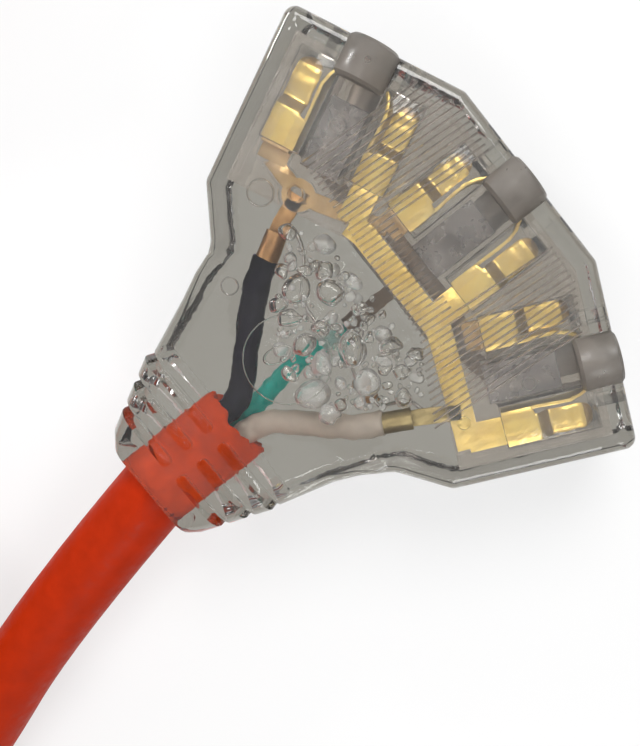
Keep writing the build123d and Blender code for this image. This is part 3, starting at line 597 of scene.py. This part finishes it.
def neck_grooves():
    """Cutters for the round-ended grooves on the left and right of the neck."""
    made = []
    for i in range(RIB_COUNT):
        y = NECK_END_Y + RIB_FIRST + i * RIB_PITCH
        for side in (-1, 1):
            near = CORD_X + side * RIB_BRIDGE / 2
            far = CORD_X + side * (NECK_TOP_HALF + 4)
            x0, x1 = sorted((near, far))
            y0, y1 = y - RIB_W / 2, y + RIB_W / 2
            outline = rounded([(x0, y0), (x1, y0), (x1, y1), (x0, y1)], [RIB_END_R] * 4, 4)
            made.append(slab("groove", outline, -2, BODY_T + 2, CLEAR))
    grooves = joined(made)
    cut(grooves, neck(shrink=RIB_D))
    return grooves


def lobe(side):
    """A half-round lobe over an outlet, with softened ends."""
    rings = []
    steps = 24
    small = LOBE_R - LOBE_SOFT
    ends = ((-LOBE_L, small), (-LOBE_L + LOBE_SOFT, LOBE_R), (-LOBE_SOFT, LOBE_R), (-LOBE_SETBACK, small))
    for y, radius in ends:
        angles = [pi * k / steps for k in range(steps + 1)]
        ring = [(radius * cos(a), y, BODY_T + radius * sin(a)) for a in angles]
        ring += [(-radius, y, BODY_T - LOBE_ROOT), (radius, y, BODY_T - LOBE_ROOT)]
        rings.append(ring)
    # The lobe's dark tint is painted shade.
    return place(stack("lobe", rings, FROSTED_SHADED), outlet(side))


def air_in_outlet(side):
    """The air in an outlet: blade slots, earth hole, contact chambers and the well between them."""
    made = []
    for across in (-1, 1):
        x = across * BLADE_PITCH / 2
        x0, x1 = x - SLOT_T / 2, x + SLOT_T / 2
        z0, z1 = BLADE_Z - SLOT_H[across] / 2, BLADE_Z + SLOT_H[across] / 2
        made.append(block(x0, x1, -WALL - 0.5, 1, z0, z1))
        x0, x1 = sorted((across * (CHAMBER_IN + CHAMBER_EASE), across * (CHAMBER_OUT - CHAMBER_EASE)))
        z0, z1 = CHAMBER_Z + 0.2, PLATE_TOP + 0.4
        made.append(block(x0, x1, -CHAMBER_REAR + 0.2, -WALL, z0, z1, edge=CHAMBER_EASE))
    made.append(rod((0, -WALL - 0.5, EARTH_Z), (0, 1, EARTH_Z), EARTH_HOLE_R, CLEAR, 32))
    # The middle well's darker walls are painted shade.
    walls = WELL if side == 0 else SIDE_WELL
    well = block(-WELL_HALF, WELL_HALF, -WELL_REAR, -WELL_FRONT, WELL_FLOOR, WELL_TOP, walls, WELL_EDGE)
    return place(united(made + [well]), outlet(side))


def groove_span(x):
    """Where the grip groove at an x starts and ends in y."""
    front = FRONT_Y - GROOVE_FROM_FRONT
    beside = abs(x) - MIDDLE_FACE_W / 2
    if beside > 0:
        front -= beside * tan(OUTLET_ANGLE) + GROOVE_FROM_SIDE
    rear = FRONT_Y - NEUTRAL_RUN - NEUTRAL_W / 2
    if WINDOW_X[0] < x < WINDOW_X[1]:
        return rear, WINDOW_REAR
    if x > WINDOW_X[1]:
        rear -= (x - WINDOW_X[1]) * tan(OUTLET_ANGLE)
    return rear, front


def grip_grooves():
    """Cutters for the fine grip grooves in the near side."""
    made = []
    half, floor = GROOVE_W / 2, GROOVE_W * GROOVE_FLOOR_SHARE
    profile = [(-half, 1), (-half, 0), (-floor, -GROOVE_D), (floor, -GROOVE_D), (half, 0), (half, 1)]
    x = GROOVE_X[0]
    while x < GROOVE_X[1]:
        rings = [[(x + u, y, BODY_T + w) for u, w in profile] for y in groove_span(x)]
        made.append(stack("grip", rings, SHADED_GROOVE))
        x += GROOVE_PITCH
    pivot = Matrix.Translation((0, GROOVE_PIVOT_Y * MM, 0))
    return place(joined(made), pivot @ Matrix.Rotation(GROOVE_TURN, 4, "Z") @ pivot.inverted())


# Bubbles
def inside(spot, outline):
    """Whether a point of the plan lies in an outline."""
    x, y = spot
    hit = False
    for (x0, y0), (x1, y1) in zip(outline, outline[1:] + outline[:1]):
        if (y0 > y) != (y1 > y) and x < x0 + (y - y0) * (x1 - x0) / (y1 - y0):
            hit = not hit
    return hit


def bubble(spot, radius, squash, lumps, surface):
    """One uneven air bubble; its normals point into the air."""
    work = bmesh.new()
    bmesh.ops.create_icosphere(work, subdivisions=3, radius=radius)
    turn = Matrix.Rotation(rng.uniform(0, pi), 4, "Z")
    stretch = Matrix.Diagonal((rng.uniform(1, 1.45), 1, squash, 1))
    waves = []
    for _ in range(4):
        axis = Vector([rng.uniform(-1, 1) for _ in range(3)]).normalized()
        waves.append((axis, rng.uniform(0, 6)))
    for v in work.verts:
        unit = v.co.normalized()
        swell = sum(sin(unit.dot(axis) * 5 + shift) for axis, shift in waves) / len(waves)
        v.co *= 1 + lumps * swell
    bmesh.ops.transform(work, matrix=Matrix.Translation(spot) @ turn @ stretch, verts=work.verts)
    bmesh.ops.scale(work, vec=(MM, MM, MM), verts=work.verts)
    bmesh.ops.reverse_faces(work, faces=work.faces)
    mesh = bpy.data.meshes.new("bubble")
    work.to_mesh(mesh)
    work.free()
    mesh.materials.append(surface)
    mesh.shade_smooth()
    made = bpy.data.objects.new("bubble", mesh)
    bpy.context.scene.collection.objects.link(made)
    return made


def ring_void(spot, radius, thick, stretch=1.0, turn=0.0):
    """A thin ring of air, such as an ejector pin or a pressed-in wire end leaves."""
    sides, around = 40, 8
    points, faces = [], []
    for i in range(sides):
        a = 2 * pi * i / sides
        for k in range(around):
            b = 2 * pi * k / around
            reach = radius + thick * cos(b)
            u, v = reach * cos(a) * stretch, reach * sin(a)
            x = spot[0] + u * cos(turn) - v * sin(turn)
            y = spot[1] + u * sin(turn) + v * cos(turn)
            points.append((x, y, spot[2] + thick * sin(b)))
            i2, k2 = (i + 1) % sides, (k + 1) % around
            faces.append([i * around + k, i2 * around + k, i2 * around + k2, i * around + k2])
    made = make("ring", points, faces, CLEAR, 60)
    made.data.flip_normals()
    return made


def bubbles(blockers):
    """Air bubbles in the moulding over the wires, clear of each other and of what is embedded."""
    made, taken = [], []
    for radius, tries in BUBBLE_SIZES:
        for _ in range(tries):
            spot = (rng.uniform(*BUBBLE_X), rng.uniform(*BUBBLE_Y), rng.uniform(*BUBBLE_Z))
            size = radius * rng.uniform(0.75, 1.2)
            squash = rng.uniform(0.35, 0.8)
            if not inside(spot[:2], BUBBLE_ZONE) or spot[2] + size * squash > BUBBLE_TOP:
                continue
            if any((Vector(spot) - Vector(o)).length < (size + r) * BUBBLE_SPACING for o, r in taken):
                continue
            if any(near(tree, spot, size * BUBBLE_CLEARANCE) for tree in blockers):
                continue
            taken.append((spot, size))
            made.append(bubble(spot, size, squash, BUBBLE_LUMPS, rng.choice((CLEAR, MILKY))))
    return made


def tree_of(piece):
    work = bmesh.new()
    work.from_mesh(piece.data)
    tree = BVHTree.FromBMesh(work)
    work.free()
    return tree


def near(tree, spot, reach):
    found = tree.find_nearest(Vector(spot) * MM, reach * MM)
    return found[0] is not None


def clear_body(blockers):
    """The clear moulding, with its lobes, grooves, cavities and bubbles."""
    body = fan()
    cut(body, neck(), "UNION")
    cut(body, joined([lobe(side) for side in (-1, 0, 1)]), "UNION")
    cut(body, neck_grooves())
    for side in (-1, 0, 1):
        cut(body, air_in_outlet(side))
    cut(body, grip_grooves())
    shade(body, 35)
    voids = [ring_void(*ring) for ring in PIN_RINGS]
    voids.append(ring_void(WIRE_RING_AT, 1.2, 0.13, 1.9, radians(75)))
    whole = joined([body] + voids + bubbles(blockers))
    whole.name = "clear_body"
    return whole


# Stamped brass
def strip(name, points, width, z0, z1, surface, edge=0.1):
    """A flat strip of even width along a bent line, with mitred corners."""
    left, right = [], []
    for i, (x, y) in enumerate(points):
        before = Vector(points[max(i - 1, 0)])
        after = Vector(points[min(i + 1, len(points) - 1)])
        here = Vector((x, y))
        first, second = here - before, after - here
        first = first.normalized() if first.length else second.normalized()
        second = second.normalized() if second.length else first
        middle = (first + second).normalized()
        reach = width / 2 / max(middle.dot(first), 0.5)
        left.append((x - middle.y * reach, y + middle.x * reach))
        right.append((x + middle.y * reach, y - middle.x * reach))
    return slab(name, right + left[::-1], z0, z1, surface, edge, 2)


def ribbon(name, stations, thick, crown, surface):
    """A curved sheet from stations of depth, top height, inner and outer edge."""
    across = 12
    rings = []
    for depth, z, low, high in stations:
        ring = []
        for face in (1, -1):
            for k in range(across + 1):
                u = (2 * k / across - 1) * face
                lift = crown * (1 - u * u) - 0.12 * max(0, (abs(u) - 0.8) / 0.2) ** 2 * face
                x = (low + high) / 2 + (high - low) / 2 * u
                ring.append((x, -depth, z + lift - (0 if face > 0 else thick)))
        rings.append(ring)
    return stack(name, rings, surface, 40)


def paint_joggle_shade_and_tip(piece):
    """Paints the band over a contact's joggle dark, a painted shade where the strip bends down, and its tip
    darker brown.
    """
    piece.data.materials.append(JOGGLE_SHADE_BRASS)
    piece.data.materials.append(TIP_BRASS)
    for face in piece.data.polygons:
        depth = -face.center.y / MM
        if JOGGLE[0] < depth < JOGGLE[1]:
            face.material_index = 1
        elif depth < TIP_L:
            face.material_index = 2


def contact_stations():
    """The plate, the joggle and the round-tipped finger of a contact."""
    out = [(depth, PLATE_TOP, PLATE_IN, PLATE_OUT) for depth in (PLATE_REAR, PLATE_FRONT)]
    out.append((PLATE_FRONT - 0.3, PLATE_TOP - 0.02, PLATE_IN + 0.15, PLATE_OUT))
    notch = PLATE_IN + NOTCH_W
    for k in range(9):
        share = k / 8
        drop = JOGGLE_DROP * (3 * share**2 - 2 * share**3)
        out.append((JOGGLE_START - JOGGLE_L * share, PLATE_TOP - drop, notch, PLATE_OUT))
    low = PLATE_TOP - JOGGLE_DROP
    half = (PLATE_OUT - notch) / 2
    mid = (PLATE_OUT + notch) / 2
    for k in range(1, 6):
        depth = JOGGLE_START - JOGGLE_L - k * 0.8
        out.append((depth, low + FINGER_CROWN * sin(pi * k / 6), notch, PLATE_OUT))
    for k in range(9):
        angle = pi / 2 * k / 8
        width = max(half * cos(angle) ** 0.8, TIP_MIN_HALF)
        z = low + 0.25 - TIP_DROP * (1 - cos(angle))
        out.append((TIP_START - TIP_RUN * sin(angle), z, mid - width, mid + width))
    return out


def contact(side, number):
    """A dressed contact: its plate and finger, and the leaves on each side of the blade."""
    sheet = ribbon("sheet", contact_stations(), BRASS_T, 0.12, BRASS)
    paint_joggle_shade_and_tip(sheet)
    inner = strip("leaf", INNER_LEAF, LEAF_T, LEAF_LOW, PLATE_TOP - 0.3, BRASS, 0.05)
    outer = strip("leaf", OUTER_LEAF, LEAF_T, LEAF_LOW, OUTER_LEAF_TOP, BRASS, 0.05)
    piece = joined([sheet, inner, outer])
    if side < 0:
        piece.data.transform(Matrix.Diagonal((-1, 1, 1, 1)))
        piece.data.flip_normals()
    return place(piece, outlet(number))


def tail_and_crimp(tail, z, surface):
    """The flat tail of a bus, and the barrel on its end."""
    first, last = Vector(tail[-2]), Vector(tail[-1])
    run = (last - first).normalized()
    start = last - run * CRIMP_L
    made = [strip("tail", [tail[0], tail[1], tuple(start + run * 0.5)], TAIL_W, z, z + BRASS_T, surface)]
    mid = z + BRASS_T / 2
    barrel = rod((*start, mid), (*last, mid), CRIMP_R, surface, 28)
    cut(barrel, rod((*(start - run), mid), (*(last + run), mid), CRIMP_R - CRIMP_WALL, surface, 28))
    made.append(barrel)
    return made


def neutral_bus():
    """The near bus bar, in one piece with its three contacts, its tail and its barrel."""
    points = [outlet_point(-1, PLATE_MID, NEUTRAL_RUN)]
    points += [outlet_point(0, bend, NEUTRAL_RUN) for bend in NEUTRAL_BENDS]
    points.append(outlet_point(1, PLATE_MID + NEUTRAL_OVERRUN, NEUTRAL_RUN))
    flat = [strip("neutral_run", points, NEUTRAL_W, PLATE_Z, PLATE_TOP, BRASS)]
    for side in (-1, 0, 1):
        arm = [outlet_point(side, PLATE_MID, NEUTRAL_RUN), outlet_point(side, PLATE_MID, PLATE_REAR - 0.6)]
        flat.append(strip("arm", arm, NEUTRAL_ARM_W, PLATE_Z, PLATE_TOP, BRASS))
    made = [united(flat)]
    made += [contact(1, side) for side in (-1, 0, 1)]
    made += tail_and_crimp(NEUTRAL_TAIL, PLATE_Z, TAIL_BRASS)
    piece = joined(made)
    piece.name = "neutral_bus_bar"
    return piece


def live_contacts():
    piece = joined([contact(-1, side) for side in (-1, 0, 1)])
    piece.name = "live_contacts"
    return piece


def live_run():
    """The far bus bar's run, the folds up to its contacts, and its tail and barrel."""
    arms = [outlet_point(side, -PLATE_MID, LIVE_RUN) for side in (-1, 0, 1)]
    near_half = [arms[0], LIVE_TAIL[0], LIVE_BEND, arms[1]]
    far_half = [arms[1], (MIDDLE_FACE_W / 2 - PLATE_MID, FRONT_Y - LIVE_RUN), arms[2]]
    x, y = LIVE_TAIL[0]
    top = LIVE_Z + BRASS_T
    flat = [strip("live_run", near_half, LIVE_W, LIVE_Z, top, DEEP_BRASS)]
    # From the middle outlet on, the run is painted darker: painted shade.
    flat.append(strip("live_run", far_half, LIVE_W - 0.02, LIVE_Z + 0.01, top - 0.01, SHADED_BRASS))
    flat.append(rod((x, y, LIVE_Z), (x, y, top), LIVE_W, DEEP_BRASS, 40))
    made = [united(flat)]
    cut(made[0], rod((x, y, LIVE_Z - 1), (x, y, LIVE_Z + 2), LIVE_HOLE_R, DEEP_BRASS, 32))
    for side in (-1, 0, 1):
        x0, x1 = -PLATE_OUT + LIVE_FOLD_IN, -PLATE_IN - LIVE_FOLD_IN
        riser = block(x0, x1, -PLATE_REAR - BRASS_T, -PLATE_REAR, LIVE_Z, PLATE_TOP, DEEP_BRASS, 0.08)
        y0, y1 = -LIVE_RUN - 0.4, -PLATE_REAR - 0.1
        foot = block(x0, x1, y0, y1, LIVE_Z - 0.02, top + 0.02, DEEP_BRASS, 0.08)
        made += [place(riser, outlet(side)), place(foot, outlet(side))]
    made += tail_and_crimp(LIVE_TAIL, LIVE_Z, COPPER)
    piece = joined(made)
    piece.name = "live_run_bar"
    return piece


# Wires
def swollen(name, amount, surface, taper=0.0):
    """A wire with the uneven skin that hot moulding gives it, thinner towards its stripped end."""
    work = bmesh.new()
    work.from_mesh(nodes[name].data)
    bmesh.ops.remove_doubles(work, verts=work.verts, dist=0.01 * MM)
    long_edges = [e for e in work.edges if e.calc_length() > 1.2 * MM]
    bmesh.ops.subdivide_edges(work, edges=long_edges, cuts=6, use_grid_fill=True)
    work.normal_update()
    low, high = min(v.co.y for v in work.verts), max(v.co.y for v in work.verts)
    for v in work.verts:
        x, y, z = v.co / MM
        lump = 0.5 + 0.5 * sin(1.3 * y + 0.7 * x) * sin(0.9 * y - 1.1 * z + 1)
        share = (v.co.y - low) / (high - low)
        v.co += v.normal * (amount * lump - taper * share) * MM
    mesh = bpy.data.meshes.new(name + "_skin")
    work.to_mesh(mesh)
    work.free()
    piece = bpy.data.objects.new(name + "_skin", mesh)
    bpy.context.scene.collection.objects.link(piece)
    piece.matrix_world = nodes[name].matrix_world
    mesh.materials.append(surface)
    mesh.shade_smooth()
    return piece


# Cord
def coil_points():
    """The coil's turns and the tail, as control points of the cord's own spline."""
    (x0, y0, _), (x1, y1, _) = CORD_RUN[-2:]
    heading = atan2(x1 - x0, y0 - y1)
    cx, cy = x1 - COIL_R * cos(heading), y1 - COIL_R * sin(heading)
    total = heading + COIL_HALF_TURNS * pi
    step = 2 * pi / COIL_POINTS_PER_TURN
    reach = COIL_R / cos(step / 2)
    low, high = CORD_D / 2, CORD_D / 2 + COIL_LAYER
    points = []
    turned = step / 2
    while turned < total - step * 0.25:
        share = (turned - radians(COIL_LIFT[0])) / radians(COIL_LIFT[1] - COIL_LIFT[0])
        z = low + (high - low) * min(max(share, 0), 1)
        angle = heading - turned
        points.append((cx + reach * cos(angle), cy + reach * sin(angle), z))
        turned += step
    angle = heading - total
    end = Vector((cx + COIL_R * cos(angle), cy + COIL_R * sin(angle), high))
    return points + [tuple(end + Vector(step)) for step in TAIL_RUN]


def cord():
    """The whole cord as one smooth line."""
    route = CORD_RUN + coil_points()
    curve = bpy.data.curves.new("cord_line", "CURVE")
    curve.dimensions = "3D"
    curve.bevel_depth = CORD_D / 2 * MM
    curve.bevel_resolution = 8
    curve.use_fill_caps = True
    spline = curve.splines.new("NURBS")
    spline.points.add(len(route) - 1)
    for point, spot in zip(spline.points, route):
        point.co = (*(Vector(spot) * MM), 1)
    spline.order_u = 3
    spline.use_endpoint_u = True
    spline.resolution_u = 8
    piece = bpy.data.objects.new("cord_line", curve)
    bpy.context.scene.collection.objects.link(piece)
    curve.materials.append(ORANGE)
    return piece


def jacket_stub():
    """The jacket inside the neck, with its end torn rather than cut."""
    sides = 72
    angles = [2 * pi * k / sides for k in range(sides)]
    bore = CORD_R - JACKET_T
    torn = []
    for a in angles:
        wave = sum(height * sin(count * a + phase) for height, count, phase in TORN_WAVES)
        torn.append(JACKET_END_Y + wave + rng.uniform(-TORN_JITTER, TORN_JITTER))
    rings = [[(CORD_R, y)] * sides for y in (NECK_END_Y, NECK_END_Y + 8, JACKET_END_Y - 1.6)]
    rings.append([(CORD_R - 0.05, y - TORN_BEVEL) for y in torn])
    rings.append([(CORD_R - 0.45, y) for y in torn])
    rings.append([(bore, y - 0.5) for y in torn])
    rings.append([(bore, JACKET_END_Y - JACKET_BORE_L)] * sides)
    placed = []
    for ring in rings:
        placed.append([(CORD_X + r * cos(a), y, CORD_Z + r * sin(a)) for a, (r, y) in zip(angles, ring)])
    return stack("jacket_stub", placed, JACKET, 50)


# Stage
def stage():
    """The floor, the sky and the lamps."""
    signs = ((-1, -1), (1, -1), (1, 1), (-1, 1))
    corners = [(x * FLOOR_HALF, y * FLOOR_HALF, FLOOR_Z) for x, y in signs]
    floor = make("floor", corners, [(0, 1, 2, 3)], floor_material())
    world = bpy.data.worlds.new("studio")
    bpy.context.scene.world = world
    world.use_nodes = True
    tree = world.node_tree
    background = tree.nodes["Background"]
    where = add(tree, "ShaderNodeTexCoord")
    split = add(tree, "ShaderNodeSeparateXYZ")
    tree.links.new(where.outputs["Generated"], split.inputs["Vector"])
    height = remap(tree, split.outputs["Z"], -0.1, 1.0, 0, 1)
    sky = ramp(tree, height, [(at, grey(value)) for at, value in SKY])
    tree.links.new(sky, background.inputs["Color"])
    for name, spot, size, power in LAMPS:
        lamp(name, spot, size, power)


def floor_material():
    """White to the camera with a soft shadow, and mid grey as seen through the plastic, a painted shadow of
    the tap.
    """
    made, tree, shader = material("floor")
    shader.inputs["Base Color"].default_value = grey(FLOOR_WHITE)
    shader.inputs["Roughness"].default_value = 0.9
    paths = add(tree, "ShaderNodeLightPath")
    glow = add(tree, "ShaderNodeEmission", Strength=1.0)
    tint = add(tree, "ShaderNodeMixRGB")
    tint.inputs["Color1"].default_value = grey(1.0)
    tint.inputs["Color2"].default_value = SHADOW_SEEN_THROUGH
    tree.links.new(paths.outputs["Is Transmission Ray"], tint.inputs["Fac"])
    tree.links.new(tint.outputs["Color"], glow.inputs["Color"])
    seen = add(tree, "ShaderNodeMath", operation="MAXIMUM")
    tree.links.new(paths.outputs["Is Camera Ray"], seen.inputs[0])
    tree.links.new(paths.outputs["Is Glossy Ray"], seen.inputs[1])
    through = add(tree, "ShaderNodeMath", operation="MULTIPLY_ADD")
    tree.links.new(seen.outputs[0], through.inputs[0])
    through.inputs[1].default_value = FLOOR_GLOW
    tree.links.new(paths.outputs["Is Transmission Ray"], through.inputs[2])
    mix = add(tree, "ShaderNodeMixShader")
    tree.links.new(through.outputs[0], mix.inputs["Fac"])
    tree.links.new(shader.outputs[0], mix.inputs[1])
    tree.links.new(glow.outputs[0], mix.inputs[2])
    tree.links.new(mix.outputs[0], tree.nodes["Material Output"].inputs["Surface"])
    return made


def lamp(name, spot, size, power):
    """A square lamp that is aimed at the tap."""
    light = bpy.data.lights.new(name, "AREA")
    light.size = size * MM
    light.energy = power
    piece = bpy.data.objects.new(name, light)
    bpy.context.scene.collection.objects.link(piece)
    piece.location = Vector(spot) * MM
    aim = Vector((0, 0, 10 * MM)) - piece.location
    piece.rotation_euler = aim.to_track_quat("-Z", "Y").to_euler()


def camera():
    data = bpy.data.cameras.new("camera")
    data.lens = CAMERA_LENS
    data.sensor_width = 36
    data.shift_x, data.shift_y = CAMERA_SHIFT
    data.clip_start = 0.01
    piece = bpy.data.objects.new("camera", data)
    bpy.context.scene.collection.objects.link(piece)
    piece.matrix_world = Matrix.Translation(Vector(CAMERA_AT) * MM)
    for angle, axis in zip(CAMERA_TURN, "ZXY"):
        piece.matrix_world = piece.matrix_world @ Matrix.Rotation(radians(angle), 4, axis)
    bpy.context.scene.camera = piece


# Assembly
def ready(piece, slot_name, *replaced):
    """Rides a new piece on the tap, and hides the solids it stands for."""
    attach(piece, "root")
    if replaced:
        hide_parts(*replaced)
    return piece


stage()
camera()
cord_piece = ready(cord(), "orange_jacket", "cord", "cord_coil", "cord_tail")
embedded = ["live_wire", "neutral_wire", "jacket_end", "live_bus", "neutral_bus"]
embedded += ["indicator_lamp", "lamp_lead_live"]
blockers = [tree_of(nodes[name]) for name in embedded]
ready(clear_body(blockers), "clear_moulding", "outer_body")
ready(neutral_bus(), "stamped_brass", "neutral_bus")
ready(live_contacts(), "stamped_brass", "live_bus")
ready(live_run(), "stamped_brass", "live_bus")
ready(jacket_stub(), "orange_jacket", "jacket_end")
ready(swollen("live_wire", 0.4, BLACK), "black_insulation", "live_wire")
ready(swollen("earth_wire", 0.4, GREEN, 1.0), "green_insulation", "earth_wire")
ready(swollen("neutral_wire", 0.3, WHITE), "white_insulation", "neutral_wire")
for name, surface in {
    "contact_carrier": INNER,
    "carrier_lid": INNER,
    "earth_cover": INNER,
    "earth_bus": SHADED_BRASS,
    "live_strands": COPPER,
    "neutral_strands": COPPER,
    "earth_strands": COPPER,
    "indicator_lamp": LAMP,
    "lamp_resistor": BROWN,
    "lamp_lead_live": TINNED,
    "lamp_lead_link": TINNED,
    "lamp_lead_neutral": TINNED,
    "coil_tie": STRAP,
    "plug_body": ORANGE,
    "plug_live_blade": BRASS,
    "plug_neutral_blade": BRASS,
    "plug_earth_pin": BRASS,
}.items():
    dress(nodes[name], surface)
    shade(nodes[name], 30)
# The earth bus keeps the dark painted-shade brass behind SLEEVE_REAR_Y and takes the paler veiled brass in
# front of it.
earth_bus = nodes["earth_bus"]
earth_bus.data.materials.append(VEILED_BRASS)
for face in earth_bus.data.polygons:
    if (earth_bus.matrix_world @ face.center).y > SLEEVE_REAR_Y * MM:
        face.material_index = 1

bpy.context.scene.view_settings.view_transform = "Standard"
